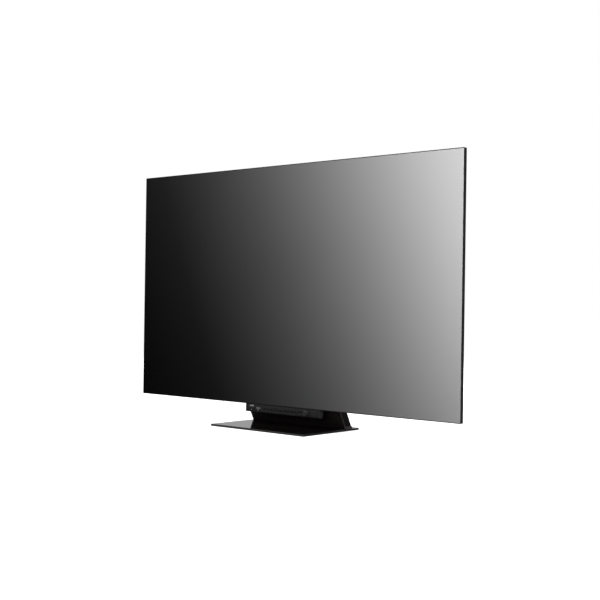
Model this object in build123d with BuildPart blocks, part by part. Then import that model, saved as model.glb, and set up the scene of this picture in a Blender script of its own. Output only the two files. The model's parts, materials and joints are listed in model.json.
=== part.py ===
from build123d import *
import os
from math import cos, radians, sin, tan

# A flat panel display on a leaning neck and a plate stand. Millimetres, +Z up, the screen faces -Y.
# The origin is on the floor under the middle of the base plate.
# A depth is a distance behind the screen's front, towards +Y.

# ---- Driving dimensions ----

# Stand
base_width = 362.0
base_depth = 249.0
base_thickness = 6.0
pad_proud = 0.8
pad_radius = 10.0
pad_seat = 0.6
pad_spacing_x = base_width - 50
pad_spacing_y = base_depth - 40
base_top = pad_proud + base_thickness
neck_lean = 27.0
neck_front_at_base = 72.4
neck_depth = 31.0
neck_plate = 4.5
neck_top = 110.0
foot_height = 8.0
foot_screw_xs = (-150.0, -90.0, -30.0, 30.0, 90.0, 150.0)
neck_bolt_xs = (-120.0, -40.0, 40.0, 120.0)

# Panel
screen_front_y = -13.0
panel_width = 1225.0
panel_height = 707.0
panel_depth = 11.0
panel_bottom = 63.2
panel_centre = panel_bottom + panel_height / 2
frame_wall = 1.6
frame_corner = 2.0
seat_gap = 0.1
cell_set_back = 0.3
cell_thickness = 1.4
mould_band = 8.0
mould_front = cell_set_back + cell_thickness
back_plate_thickness = 1.3
back_plate_front = panel_depth - back_plate_thickness
leds_per_bar = 36
led_pitch = 16.0

# Rear housing
housing_width = 900.0
housing_height = 500.0
housing_straight = 25.0
housing_depth = 75.0
housing_wall = 2.5
housing_taper = 30.0
housing_corner = 12.0
housing_flange = 12.0
housing_back = panel_depth + housing_depth
mount_spacing_x = 400.0
mount_spacing_z = 200.0
mount_height = 330.0
mount_hole_radius = 3.0
mount_hole_length = 20.0
post_radius = 9.0
bay_depth = 20.0
bay_height = 60.0
bay_centre = 158.0
bay_wall = 2.0
bay_floor = housing_back - bay_depth
signal_bay_width = 320.0
power_bay_width = 100.0
power_bay_x = -350.0
plate_thickness = 1.5
plate_front = bay_floor - plate_thickness
inlet_x = power_bay_x - 22.0
switch_x = power_bay_x + 24.0

# Fans
fan_x = 300.0
fan_z = 488.0
fan_size = 80.0
fan_depth = 15.0
fan_front = housing_back - housing_wall - fan_depth
fan_blades = 7
fan_bore = 38.5
fan_hub = 17.0
fan_shaft = 1.5
running_gap = 0.05

# Control strip
strip_half = 147.5
strip_bottom = 39.5
strip_top = panel_bottom - 0.4
strip_height = strip_top - strip_bottom
strip_middle = (strip_top + strip_bottom) / 2
strip_front = 0.5
strip_back = 10.5
strip_wall = 2.0
strip_end = 5.0
body_half = 135.0
body_back = 32.5
board_front = 12.5
board_thickness = 1.6
button_gap = 0.3
button_pitch = 19.2
button_first_x = -64.0
button_z = 50.6
button_width = 9.0
button_height = 4.5
round_button_z = 46.8
power_x = -119.7
input_x = -93.8
knob_x = 97.7
knob_z = 51.2
knob_radius = 8.3
knob_front = -11.5
knob_back = -0.6
knob_ridges = 30
shaft_radius = 2.0
plunger_radius = 3.5
bush_radius = 4.4
window_x = 123.5
window_width = 33.0
window_height = 18.0
label_z = 52.2
label_width = 16.0
label_height = 3.0
badge_z = 58.0
strip_screw_xs = (-110.0, -40.0, 40.0, 110.0)
strip_screw_depth = 21.5
strip_screw_hole = 1.5
strip_screw_radius = 1.45
strip_screw_head = 3.0

function_button_xs = [button_first_x + i * button_pitch for i in range(8)]
round_buttons = {"power_button": (power_x, 3.8), "input_button": (input_x, 3.2)}


def upright(depth, x=0.0, z=0.0):
    """An upright plane behind the screen's front: local x is +X and local y is +Z."""
    return Plane(origin=(x, screen_front_y + depth, z), x_dir=(1, 0, 0), z_dir=(0, -1, 0))


def level(height, x=0.0, depth=0.0):
    """A level plane at a height above the floor, looked at from above."""
    return Plane(origin=(x, screen_front_y + depth, height))


def neck_front(height):
    """The depth of the neck's front face at a height above the floor."""
    return neck_front_at_base - (height - base_top) * tan(radians(neck_lean))


def neck_outline(low, high, front, back):
    """The points of a leaning slab's side, between two heights and two depths from the neck's front."""
    return [
        (screen_front_y + neck_front(low) + front, low),
        (screen_front_y + neck_front(low) + back, low),
        (screen_front_y + neck_front(high) + back, high),
        (screen_front_y + neck_front(high) + front, high),
    ]


def slab(depth, thickness, x, z, width, height, mode=Mode.ADD):
    """An upright block with its front at a depth."""
    with BuildSketch(upright(depth, x, z)) as profile:
        Rectangle(width, height)
    extrude(profile.sketch, amount=-thickness, mode=mode)


def rod(depth, length, x, z, radius, mode=Mode.ADD):
    """A round bar or hole that runs back from a depth."""
    with BuildSketch(upright(depth, x, z)) as profile:
        Circle(radius)
    extrude(profile.sketch, amount=-length, mode=mode)


def save(piece, name):
    """Labels a finished piece and writes its STEP file."""
    piece.part.label = name
    export_step(piece.part, f"parts/{name}.step")


os.makedirs("parts", exist_ok=True)

# ---- Stand ----

foot_screw_depth = neck_front_at_base + neck_plate + 12.0
foot_screw_radius = 2.5
foot_screw_head = 5.0

with BuildPart() as base_plate:
    with BuildSketch(Plane.XY.offset(pad_proud)):
        Rectangle(base_width, base_depth)
    extrude(amount=base_thickness)
    fillet(base_plate.edges().filter_by(Axis.Z), 3.0)
    chamfer(base_plate.faces().sort_by(Axis.Z)[-1].edges(), 0.5)
    for x in foot_screw_xs:
        with BuildSketch(level(pad_proud, x, foot_screw_depth)):
            Circle(foot_screw_radius)
        extrude(amount=base_thickness, mode=Mode.SUBTRACT)
        with BuildSketch(level(pad_proud, x, foot_screw_depth)):
            Circle(foot_screw_head)
        with BuildSketch(level(pad_proud + foot_screw_head - foot_screw_radius, x, foot_screw_depth)):
            Circle(foot_screw_radius)
        loft(mode=Mode.SUBTRACT)
    with BuildSketch(Plane.XY.offset(pad_proud)):
        with GridLocations(pad_spacing_x, pad_spacing_y, 2, 2):
            Circle(pad_radius)
    extrude(amount=pad_seat, mode=Mode.SUBTRACT)
save(base_plate, "base_plate")

with BuildPart() as foot_pads:
    with BuildSketch(Plane.XY):
        with GridLocations(pad_spacing_x, pad_spacing_y, 2, 2):
            Circle(pad_radius)
    extrude(amount=pad_proud + pad_seat)
    chamfer(foot_pads.faces().filter_by(Plane.XY).group_by(Axis.Z)[0].edges(), 0.3)
save(foot_pads, "foot_pads")

with BuildPart() as neck_foot:
    with BuildSketch(Plane.YZ):
        Polygon(*neck_outline(base_top, base_top + foot_height, neck_plate, neck_depth + 2), align=None)
    extrude(amount=base_width / 2, both=True)
    for x in foot_screw_xs:
        with BuildSketch(level(base_top, x, foot_screw_depth)):
            Circle(foot_screw_radius)
        extrude(amount=foot_height - 2, mode=Mode.SUBTRACT)
save(neck_foot, "neck_foot")

neck_bolt_height = 97.0
neck_bolt_radius = 3.0
neck_bolt_head = 5.0
neck_bolt_reach = 8.0
lean_out = (0, cos(radians(neck_lean)), sin(radians(neck_lean)))


def neck_bolt_plane(x):
    """A plane on the back of the neck's front plate, facing away from the screen."""
    back = screen_front_y + neck_front(neck_bolt_height) + neck_plate
    return Plane(origin=(x, back, neck_bolt_height), x_dir=(1, 0, 0), z_dir=lean_out)


with BuildPart() as neck_bolt_holes:
    for x in neck_bolt_xs:
        with BuildSketch(neck_bolt_plane(x)):
            Circle(neck_bolt_radius)
        extrude(amount=-neck_bolt_reach)

with BuildPart() as neck_front_plate:
    with BuildSketch(Plane.YZ):
        Polygon(*neck_outline(base_top, neck_top, 0, neck_plate), align=None)
    extrude(amount=base_width / 2, both=True)
    fillet(neck_front_plate.edges().filter_by(Axis.X).group_by(Axis.Y)[0], 0.8)
    add(neck_bolt_holes.part, mode=Mode.SUBTRACT)
save(neck_front_plate, "neck_front_plate")

cover_wall = 2.5
cover_low = base_top + foot_height
cover_high = 90.0
with BuildPart() as neck_cover:
    with BuildSketch(Plane.YZ):
        Polygon(*neck_outline(cover_low, cover_high, neck_plate, neck_depth), align=None)
    extrude(amount=base_width / 2, both=True)
    fillet(neck_cover.faces().sort_by(Axis.X)[0].edges().sort_by(Axis.Y)[-1], 3.0)
    fillet(neck_cover.faces().sort_by(Axis.X)[-1].edges().sort_by(Axis.Y)[-1], 3.0)
    with BuildSketch(Plane.YZ):
        Polygon(*neck_outline(cover_low - 1, cover_high + 1, neck_plate - 1, neck_depth - cover_wall),
                align=None)
    extrude(amount=base_width / 2 - cover_wall, both=True, mode=Mode.SUBTRACT)
save(neck_cover, "neck_cover")

rib_thickness = 4.0
with BuildPart() as neck_ribs:
    for x in (-160.0, -80.0, 0.0, 80.0, 160.0):
        with BuildSketch(Plane.YZ.offset(x - rib_thickness / 2)):
            Polygon(*neck_outline(cover_low, neck_top, neck_plate, neck_depth - cover_wall - 1), align=None)
        extrude(amount=rib_thickness)
save(neck_ribs, "neck_ribs")

rail_depth = 6.0
bracket_front = panel_depth + rail_depth
bracket_low = 70.0
bracket_half = 170.0
with BuildPart() as neck_bracket:
    with BuildSketch(Plane.YZ):
        Polygon(
            (screen_front_y + bracket_front, bracket_low),
            (screen_front_y + neck_front(bracket_low), bracket_low),
            (screen_front_y + neck_front(neck_top), neck_top),
            (screen_front_y + bracket_front, neck_top),
            align=None,
        )
    extrude(amount=bracket_half, both=True)
    add(neck_bolt_holes.part, mode=Mode.SUBTRACT)
save(neck_bracket, "neck_bracket")

with BuildPart() as stand_screws:
    for x in foot_screw_xs:
        with BuildSketch(level(pad_proud + 0.2, x, foot_screw_depth)):
            Circle(foot_screw_head - 0.25)
        with BuildSketch(level(pad_proud + foot_screw_head - foot_screw_radius, x, foot_screw_depth)):
            Circle(foot_screw_radius - 0.05)
        loft()
        with BuildSketch(level(pad_proud + foot_screw_head - foot_screw_radius, x, foot_screw_depth)):
            Circle(foot_screw_radius - 0.05)
        extrude(amount=base_thickness + 2.0)
    for x in neck_bolt_xs:
        with BuildSketch(neck_bolt_plane(x)):
            Circle(neck_bolt_head)
        extrude(amount=4.0)
        with BuildSketch(neck_bolt_plane(x)):
            Circle(neck_bolt_radius - 0.05)
        extrude(amount=-neck_bolt_reach)
save(stand_screws, "stand_screws")

# ---- Panel ----

inner_width = panel_width - 2 * frame_wall
inner_height = panel_height - 2 * frame_wall

with BuildPart() as panel_frame:
    with BuildSketch(upright(0, z=panel_centre)):
        RectangleRounded(panel_width, panel_height, frame_corner)
        Rectangle(inner_width, inner_height, mode=Mode.SUBTRACT)
    extrude(amount=-panel_depth)
save(panel_frame, "panel_frame")

with BuildPart() as screen_glass:
    slab(cell_set_back, cell_thickness, 0, panel_centre, inner_width - 2 * seat_gap,
         inner_height - 2 * seat_gap)
save(screen_glass, "screen_glass")

mould_width = inner_width - 2 * seat_gap
mould_height = inner_height - 2 * seat_gap
with BuildPart() as mould_frame:
    with BuildSketch(upright(mould_front, z=panel_centre)):
        Rectangle(mould_width, mould_height)
        Rectangle(mould_width - 2 * mould_band, mould_height - 2 * mould_band, mode=Mode.SUBTRACT)
    extrude(amount=-(back_plate_front - mould_front))
save(mould_frame, "mould_frame")

film_width = mould_width - 2 * mould_band - 1.0
film_height = mould_height - 2 * mould_band - 1.0
film_thickness = 0.3
with BuildPart() as optical_films:
    for depth in (mould_front + 0.3, mould_front + 0.7):
        slab(depth, film_thickness, 0, panel_centre, film_width, film_height)
save(optical_films, "optical_films")

guide_front = mould_front + 1.2
guide_thickness = 3.0
led_bar_thickness = 1.6
led_height = 0.8
bar_room = led_bar_thickness + led_height + 0.4
with BuildPart() as light_guide_plate:
    slab(guide_front, guide_thickness, 0, panel_centre + bar_room / 2, film_width, film_height - bar_room)
save(light_guide_plate, "light_guide_plate")

with BuildPart() as reflector_sheet:
    slab(guide_front + guide_thickness + 0.1, film_thickness, 0, panel_centre + bar_room / 2, film_width,
         film_height - bar_room)
save(reflector_sheet, "reflector_sheet")

bar_low = panel_centre - film_height / 2
bar_length = leds_per_bar * led_pitch
with BuildPart() as led_bars:
    for side in (-1, 1):
        slab(guide_front, 6.0, side * (bar_length / 2 + 2), bar_low + led_bar_thickness / 2, bar_length,
             led_bar_thickness)
save(led_bars, "led_bars")

with BuildPart() as led_packages:
    for side in (-1, 1):
        with BuildSketch(Plane.XY.offset(bar_low + led_bar_thickness)):
            with Locations((side * (bar_length / 2 + 2), screen_front_y + guide_front + guide_thickness / 2)):
                with GridLocations(led_pitch, 1, leds_per_bar, 1):
                    Rectangle(3.6, 2.4)
        extrude(amount=led_height)
save(led_packages, "led_packages")

screw_radius = 2.0
flange_width = housing_width + 2 * housing_flange
flange_height = housing_height + housing_flange
flange_centre = panel_bottom + flange_height / 2
screw_places = [(x, flange_height - housing_flange / 2) for x in (-440, -264, -88, 88, 264, 440)]
screw_places += [(s * (housing_width + housing_flange) / 2, z) for s in (-1, 1) for z in (14, 130, 250, 370)]

bead_height = 3.2
with BuildPart() as back_plate:
    slab(back_plate_front, back_plate_thickness, 0, panel_centre, mould_width, mould_height)
    for z in (-230.0, 0.0, 230.0):
        slab(back_plate_front - bead_height, bead_height, 0, panel_centre + z, film_width - 40, 16)
    for x, z in screw_places:
        rod(back_plate_front, back_plate_thickness, x, panel_bottom + z, screw_radius, Mode.SUBTRACT)
save(back_plate, "back_plate")

with BuildPart() as chassis_rails:
    for side in (-1, 1):
        slab(panel_depth, rail_depth, side * 140, 310, 30, 470)
        slab(panel_depth, rail_depth, side * 292, mount_height, 270, 26)
save(chassis_rails, "chassis_rails")

with BuildPart() as mount_posts:
    with BuildSketch(upright(panel_depth, z=mount_height)):
        with GridLocations(mount_spacing_x, mount_spacing_z, 2, 2):
            Circle(post_radius)
    extrude(amount=-housing_depth)
    with BuildSketch(upright(housing_back, z=mount_height)):
        with GridLocations(mount_spacing_x, mount_spacing_z, 2, 2):
            Circle(mount_hole_radius)
    extrude(amount=mount_hole_length, mode=Mode.SUBTRACT)
save(mount_posts, "mount_posts")

# ---- Rear housing ----

slot_width = 3.5
slot_pitch = 8.0
fan_slot_count = 11
top_slot_count = 30


def housing_form(shrink, back):
    """The rear housing's body: a straight wall, then a taper on three sides; the bottom stays level."""
    width = housing_width - 2 * shrink
    height = housing_height - 2 * shrink
    low = panel_bottom + shrink
    corner = housing_corner - shrink
    narrow = housing_taper
    turn = panel_depth + housing_straight
    with BuildSketch(upright(panel_depth, z=low + height / 2)) as straight:
        RectangleRounded(width, height, corner)
    extrude(straight.sketch, amount=-housing_straight)
    with BuildSketch(upright(turn, z=low + height / 2)) as wide_end:
        RectangleRounded(width, height, corner)
    with BuildSketch(upright(back, z=low + (height - narrow) / 2)) as narrow_end:
        RectangleRounded(width - 2 * narrow, height - narrow, corner)
    loft([wide_end.sketch, narrow_end.sketch])


with BuildPart() as housing_inside:
    housing_form(housing_wall, housing_back - housing_wall)

bays = {"signal": (0.0, signal_bay_width), "power": (power_bay_x, power_bay_width)}
with BuildPart() as rear_housing:
    housing_form(0.0, housing_back)
    slab(panel_depth, housing_wall, 0, flange_centre, flange_width, flange_height)
    add(housing_inside.part, mode=Mode.SUBTRACT)
    for x, width in bays.values():
        slab(bay_floor, bay_depth - housing_wall, x, bay_centre, width + 2 * bay_wall,
             bay_height + 2 * bay_wall)
        slab(bay_floor, bay_depth, x, bay_centre, width, bay_height, Mode.SUBTRACT)
    with BuildSketch(upright(housing_back, z=mount_height)):
        with GridLocations(mount_spacing_x, mount_spacing_z, 2, 2):
            Circle(post_radius + 0.3)
    extrude(amount=housing_wall, mode=Mode.SUBTRACT)
    for side in (-1, 1):
        with BuildSketch(upright(housing_back, side * fan_x, fan_z)):
            with GridLocations(slot_pitch, 1, fan_slot_count, 1):
                SlotOverall(70.0, slot_width, rotation=90)
        extrude(amount=housing_wall, mode=Mode.SUBTRACT)
    with BuildSketch(Plane(origin=(0, screen_front_y + 62.0, panel_bottom + housing_height))):
        with GridLocations(2 * slot_pitch, 1, top_slot_count, 1):
            SlotOverall(26.0, slot_width, rotation=90)
    extrude(amount=-housing_taper, mode=Mode.SUBTRACT)
    with BuildSketch(Plane.YZ):
        Polygon(*neck_outline(panel_bottom - 1, panel_bottom + housing_wall + 1, -1, neck_depth + 1),
                align=None)
    extrude(amount=base_width / 2 + 1, both=True, mode=Mode.SUBTRACT)
    for x, z in screw_places:
        rod(panel_depth, housing_wall, x, panel_bottom + z, screw_radius, Mode.SUBTRACT)
    for x in strip_screw_xs:
        with BuildSketch(level(panel_bottom, x, strip_screw_depth)):
            Circle(strip_screw_hole)
        extrude(amount=housing_wall, mode=Mode.SUBTRACT)
save(rear_housing, "rear_housing")

with BuildPart() as housing_screws:
    for x, z in screw_places:
        rod(panel_depth + housing_wall, 2.0, x, panel_bottom + z, 3.6)
        rod(back_plate_front, panel_depth + housing_wall - back_plate_front, x, panel_bottom + z,
            screw_radius - 0.05)
save(housing_screws, "housing_screws")

# ---- Boards and parts inside ----

board_depth = 23.0


def board(depth, x, z, width, height, posts_from):
    """A circuit board on four round posts."""
    slab(depth, board_thickness, x, z, width, height)
    for sx in (-1, 1):
        for sz in (-1, 1):
            rod(posts_from, depth - posts_from, x + sx * (width / 2 - 6), z + sz * (height / 2 - 6), 3.0)


parts_depth = board_depth + board_thickness
with BuildPart() as main_board:
    board(board_depth, 0, 300, 240, 190, panel_depth)
    slab(parts_depth, 3.0, 0, 320, 40, 40)
    for x in (-60.0, 60.0):
        for z in (280.0, 310.0, 340.0):
            slab(parts_depth, 1.4, x, z, 14, 11)
    for x in (-90.0, -50.0, -10.0, 30.0, 70.0):
        slab(parts_depth, 6.0, x, 215, 26, 8)
save(main_board, "main_board")

sink_front = parts_depth + 3.0
with BuildPart() as heat_sink:
    slab(sink_front, 4.0, 0, 320, 110, 80)
    with BuildSketch(upright(sink_front + 4.0, 0, 320)):
        with GridLocations(8.0, 1, 13, 1):
            Rectangle(1.5, 80)
    extrude(amount=-22.0)
save(heat_sink, "heat_sink")

psu_x = -300.0
with BuildPart() as power_supply_board:
    board(board_depth, psu_x, 330, 170, 180, panel_depth)
save(power_supply_board, "power_supply_board")

with BuildPart() as power_supply_parts:
    slab(parts_depth, 28.0, psu_x - 40, 350, 46, 42)
    slab(parts_depth, 20.0, psu_x + 40, 385, 34, 30)
    slab(parts_depth, 32.0, psu_x - 40, 290, 60, 8)
    slab(parts_depth, 32.0, psu_x + 40, 290, 60, 8)
    for x in (-60.0, -30.0, 0.0, 30.0):
        rod(parts_depth, 30.0, psu_x + x, 262, 10.0)
    for x in (20.0, 44.0, 68.0):
        rod(parts_depth, 22.0, psu_x + x, 340, 8.0)
save(power_supply_parts, "power_supply_parts")

timing_front = 14.0
timing_z = 470.0
timing_parts = timing_front + board_thickness
with BuildPart() as timing_board:
    board(timing_front, 0, timing_z, 230, 60, panel_depth)
    slab(timing_parts, 2.0, 0, timing_z, 24, 24)
    for x in (-80.0, 80.0):
        slab(timing_parts, 2.5, x, timing_z - 25, 40, 6)
save(timing_board, "timing_board")

with BuildPart() as source_boards:
    for side in (-1, 1):
        board(13.0, side * 310, 90, 220, 22, panel_depth)
save(source_boards, "source_boards")

# ---- Fans ----

motor_plate = 2.0
rotor_front = fan_front + motor_plate + 0.5
rotor_back = housing_back - housing_wall - 1.0
bearing_radius = 4.0
bearing_length = 7.0
blade_length = fan_bore - 1.0 - fan_hub + 2.0
blade_centre = fan_hub - 1.0 + blade_length / 2


def fan_frame(x):
    """A fan's square frame, with its motor plate on four struts and the bearing in its middle."""
    with BuildSketch(upright(fan_front, x, fan_z)) as ring:
        RectangleRounded(fan_size, fan_size, 4)
        Circle(fan_bore, mode=Mode.SUBTRACT)
        with GridLocations(fan_size - 8.5, fan_size - 8.5, 2, 2):
            Circle(2.2, mode=Mode.SUBTRACT)
    extrude(ring.sketch, amount=-fan_depth)
    rod(fan_front, motor_plate, x, fan_z, fan_hub)
    with BuildSketch(upright(fan_front, x, fan_z)) as struts:
        with PolarLocations((fan_hub + fan_bore) / 2, 4, start_angle=45):
            Rectangle(fan_bore - fan_hub + 3, 4)
    extrude(struts.sketch, amount=-motor_plate)
    rod(fan_front + motor_plate, bearing_length, x, fan_z, bearing_radius)
    rod(fan_front + 1.0, motor_plate + bearing_length - 1.0, x, fan_z, fan_shaft + running_gap, Mode.SUBTRACT)


def fan_rotor(x):
    """A fan's cup-shaped hub with its blades, and the shaft that turns in the frame's bearing."""
    middle = (rotor_front + rotor_back) / 2
    with Locations(upright(middle, x, fan_z)):
        with PolarLocations(blade_centre, fan_blades):
            Box(blade_length, 15.0, 1.6, rotation=(38, 0, 0))
    rod(rotor_front, rotor_back - rotor_front, x, fan_z, fan_bore - 1.0, Mode.INTERSECT)
    rod(rotor_front, rotor_back - rotor_front, x, fan_z, fan_hub)
    rod(rotor_front, rotor_back - rotor_front - 2.0, x, fan_z, fan_hub - 2.0, Mode.SUBTRACT)
    rod(fan_front + 1.5, rotor_back - fan_front - 1.5, x, fan_z, fan_shaft)


for side, x in (("left", -fan_x), ("right", fan_x)):
    with BuildPart() as frame_piece:
        fan_frame(x)
    save(frame_piece, f"fan_frame_{side}")
    with BuildPart() as rotor_piece:
        fan_rotor(x)
    save(rotor_piece, f"fan_rotor_{side}")

# ---- Rear connectors ----

bnc_xs = [-136.0 + i * 24.0 for i in range(6)]
bnc_body = 6.2
hdmi_xs = (30.0, 60.0)
hdmi_width = 15.4
hdmi_height = 6.4
network_x = 100.0
network_width = 16.0
network_height = 14.0
inlet_width = 27.0
inlet_height = 20.0
switch_width = 20.0
switch_height = 27.0
socket_reach = 12.0

with BuildPart() as connector_plates:
    for x, width in bays.values():
        slab(plate_front, plate_thickness, x, bay_centre, width + 2 * bay_wall, bay_height + 2 * bay_wall)
    for x in bnc_xs:
        rod(plate_front, plate_thickness, x, bay_centre, bnc_body + seat_gap, Mode.SUBTRACT)
    for x in hdmi_xs:
        slab(plate_front, plate_thickness, x, bay_centre, hdmi_width, hdmi_height, Mode.SUBTRACT)
    slab(plate_front, plate_thickness, network_x, bay_centre, network_width, network_height, Mode.SUBTRACT)
    slab(plate_front, plate_thickness, inlet_x, bay_centre, inlet_width, inlet_height, Mode.SUBTRACT)
    slab(plate_front, plate_thickness, switch_x, bay_centre, switch_width, switch_height, Mode.SUBTRACT)
save(connector_plates, "connector_plates")

with BuildPart() as bnc_connectors:
    for x in bnc_xs:
        rod(plate_front - 8.0, 8.0 + plate_thickness, x, bay_centre, bnc_body)
        with BuildSketch(upright(bay_floor, x, bay_centre)):
            RegularPolygon(8.0, 6)
        extrude(amount=-2.0)
        rod(bay_floor + 2.0, 10.5, x, bay_centre, 4.8)
        with BuildSketch(Plane(origin=(x, screen_front_y + bay_floor + 9.0, bay_centre), x_dir=(0, 1, 0),
                               z_dir=(1, 0, 0))):
            Circle(1.0)
        extrude(amount=5.6, both=True)
        rod(bay_floor + 4.5, 8.0, x, bay_centre, 3.9, Mode.SUBTRACT)
        rod(bay_floor + 4.5, 5.0, x, bay_centre, 1.6)
        rod(bay_floor + 9.5, 1.5, x, bay_centre, 0.5)
save(bnc_connectors, "bnc_connectors")

with BuildPart() as hdmi_sockets:
    for x in hdmi_xs:
        slab(bay_floor - socket_reach, socket_reach + 0.5, x, bay_centre, hdmi_width, hdmi_height)
        slab(bay_floor - 9.0, 9.5, x, bay_centre, hdmi_width - 1.4, hdmi_height - 1.4, Mode.SUBTRACT)
        slab(bay_floor - 9.0, 7.5, x, bay_centre + 0.6, 10.5, 1.2)
save(hdmi_sockets, "hdmi_sockets")

with BuildPart() as network_socket:
    slab(bay_floor - 16.0, 16.5, network_x, bay_centre, network_width, network_height)
    slab(bay_floor - 12.0, 12.5, network_x, bay_centre + 0.5, 11.7, 7.4, Mode.SUBTRACT)
    slab(bay_floor - 12.0, 12.5, network_x, bay_centre - 3.8, 6.2, 2.4, Mode.SUBTRACT)
    for i in range(8):
        slab(bay_floor - 12.0, 9.0, network_x + (i - 3.5) * 1.02, bay_centre + 3.7, 0.5, 0.9)
save(network_socket, "network_socket")

inlet_cavity_depth = 17.0
pin_length = 11.0
flange_proud = 2.5
with BuildPart() as power_inlet:
    slab(bay_floor - 19.0, 19.0, inlet_x, bay_centre, inlet_width, inlet_height)
    with BuildSketch(upright(bay_floor, inlet_x, bay_centre)):
        RectangleRounded(inlet_width + 10, inlet_height + 6, 3)
    extrude(amount=-flange_proud)
    with BuildSketch(upright(bay_floor + flange_proud, inlet_x, bay_centre)):
        Polygon((-12, -8), (12, -8), (12, 4), (8, 8), (-8, 8), (-12, 4), align=None)
    extrude(amount=inlet_cavity_depth, mode=Mode.SUBTRACT)
    for x, z in ((-7.0, -1.5), (7.0, -1.5), (0.0, 2.5)):
        slab(bay_floor + flange_proud - inlet_cavity_depth, pin_length, inlet_x + x, bay_centre + z, 2, 4)
save(power_inlet, "power_inlet")

rocker_half = 10.4
rocker_width = 14.4
rocker_pivot = bay_floor - 2.0
rocker_tip = 8.0
pivot_radius = 1.5
pivot_plane = Plane(origin=(switch_x, screen_front_y + rocker_pivot, bay_centre), x_dir=(0, 1, 0),
                    z_dir=(1, 0, 0))
tipped_plane = Plane(origin=pivot_plane.origin,
                     x_dir=(0, cos(radians(rocker_tip)), sin(radians(rocker_tip))), z_dir=(1, 0, 0))

with BuildPart() as rocker_frame:
    slab(bay_floor - 17.0, 17.0, switch_x, bay_centre, switch_width, switch_height)
    with BuildSketch(upright(bay_floor, switch_x, bay_centre)):
        RectangleRounded(switch_width + 4, switch_height + 4, 2)
    extrude(amount=-flange_proud)
    slab(bay_floor - 13.0, 13.0 + flange_proud, switch_x, bay_centre, rocker_width + 1.2,
         2 * rocker_half + 2.6, Mode.SUBTRACT)
    with BuildSketch(pivot_plane):
        Circle(pivot_radius + running_gap)
    extrude(amount=rocker_width / 2 + 2.2, both=True, mode=Mode.SUBTRACT)
save(rocker_frame, "rocker_frame")

with BuildPart() as rocker:
    with BuildSketch(tipped_plane):
        Polygon((-2.0, -9), (3.5, -rocker_half), (2.0, 0), (3.5, rocker_half), (-2.0, 9), align=None)
    extrude(amount=rocker_width / 2, both=True)
    with BuildSketch(pivot_plane):
        Circle(pivot_radius)
    extrude(amount=rocker_width / 2 + 2.0, both=True)
save(rocker, "rocker")

# ---- Control strip ----

flange_depth = strip_front + strip_wall + button_gap
flange_thickness = 1.0
tact_front = 9.0
tact_size = 5.2
tact_plunger_length = 0.5
tact_plunger_radius = 1.7
stem_radius = 1.8
stem_end = tact_front - 1.2
lip_thickness = 1.6
lip_front = strip_back - lip_thickness
side_screw_x = 139.5
side_screw_hole = 1.0
side_screw_radius = 0.95
side_screw_length = 5.0
side_boss_radius = 2.5
side_boss_length = lip_front - strip_front - strip_wall
fascia_edge_radius = 1.6
window_step = 8.0

with BuildPart() as strip_fascia:
    with BuildSketch(Plane.XY.offset(strip_bottom)) as fascia_plan:
        with Locations((0, screen_front_y + (strip_front + strip_back) / 2)):
            Rectangle(2 * strip_half, strip_back - strip_front)
        fillet(fascia_plan.vertices().group_by(Axis.Y)[0], strip_end)
    extrude(amount=strip_height)
    fillet(strip_fascia.faces().sort_by(Axis.Y)[0].edges().filter_by(Axis.X), fascia_edge_radius)
    slab(strip_front + strip_wall, strip_back - strip_front - strip_wall, 0, strip_middle,
         2 * (strip_half - strip_wall - 1.5), strip_height - 2 * strip_wall, Mode.SUBTRACT)
    for side in (-1, 1):
        rod(strip_front + strip_wall, side_boss_length, side * side_screw_x, strip_middle, side_boss_radius)
        rod(lip_front - 4.0, 4.0, side * side_screw_x, strip_middle, side_screw_hole, Mode.SUBTRACT)
    for x in function_button_xs:
        with BuildSketch(upright(strip_front, x, button_z)):
            RectangleRounded(button_width + 2 * button_gap, button_height + 2 * button_gap, 1.0)
        extrude(amount=-strip_wall, mode=Mode.SUBTRACT)
    for x, radius in round_buttons.values():
        rod(strip_front, strip_wall, x, round_button_z, radius + button_gap, Mode.SUBTRACT)
    rod(strip_front, strip_wall, knob_x, knob_z, bush_radius + 0.1, Mode.SUBTRACT)
    slab(strip_front, strip_wall, input_x, label_z, label_width, label_height, Mode.SUBTRACT)
    slab(strip_front, strip_wall, window_x, strip_middle, window_width - window_step,
         window_height - window_step, Mode.SUBTRACT)
save(strip_fascia, "strip_fascia")

body_height = strip_height - 2.0
body_room = body_height - 2 * strip_wall - 1.0
body_middle = strip_top - body_height / 2
with BuildPart() as strip_body:
    slab(lip_front, lip_thickness, 0, strip_middle, 2 * (strip_half - strip_wall - 1.7),
         strip_height - 2 * strip_wall - 0.4)
    slab(strip_back, body_back - strip_back, 0, body_middle, 2 * body_half, body_height)
    fillet(strip_body.faces().sort_by(Axis.Y)[-1].edges(), 3.0)
    slab(lip_front, body_back - lip_front - strip_wall, 0, body_middle,
         2 * (body_half - strip_wall), body_room, Mode.SUBTRACT)
    for side in (-1, 1):
        rod(lip_front, lip_thickness, side * side_screw_x, strip_middle, side_screw_hole, Mode.SUBTRACT)
    for x in strip_screw_xs:
        with BuildSketch(level(strip_top - 4.0, x, strip_screw_depth)):
            Circle(strip_screw_hole)
        extrude(amount=4.0, mode=Mode.SUBTRACT)
save(strip_body, "strip_body")

with BuildPart() as strip_screws:
    for x in strip_screw_xs:
        with BuildSketch(level(strip_top - strip_wall - 0.5, x, strip_screw_depth)):
            Circle(strip_screw_head)
        extrude(amount=-1.8)
        with BuildSketch(level(strip_top - strip_wall - 0.5, x, strip_screw_depth)):
            Circle(strip_screw_radius)
        extrude(amount=6.0)
    for side in (-1, 1):
        rod(strip_back, 1.4, side * side_screw_x, strip_middle, 2.0)
        rod(strip_back - side_screw_length, side_screw_length, side * side_screw_x, strip_middle,
            side_screw_radius)
save(strip_screws, "strip_screws")

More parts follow.
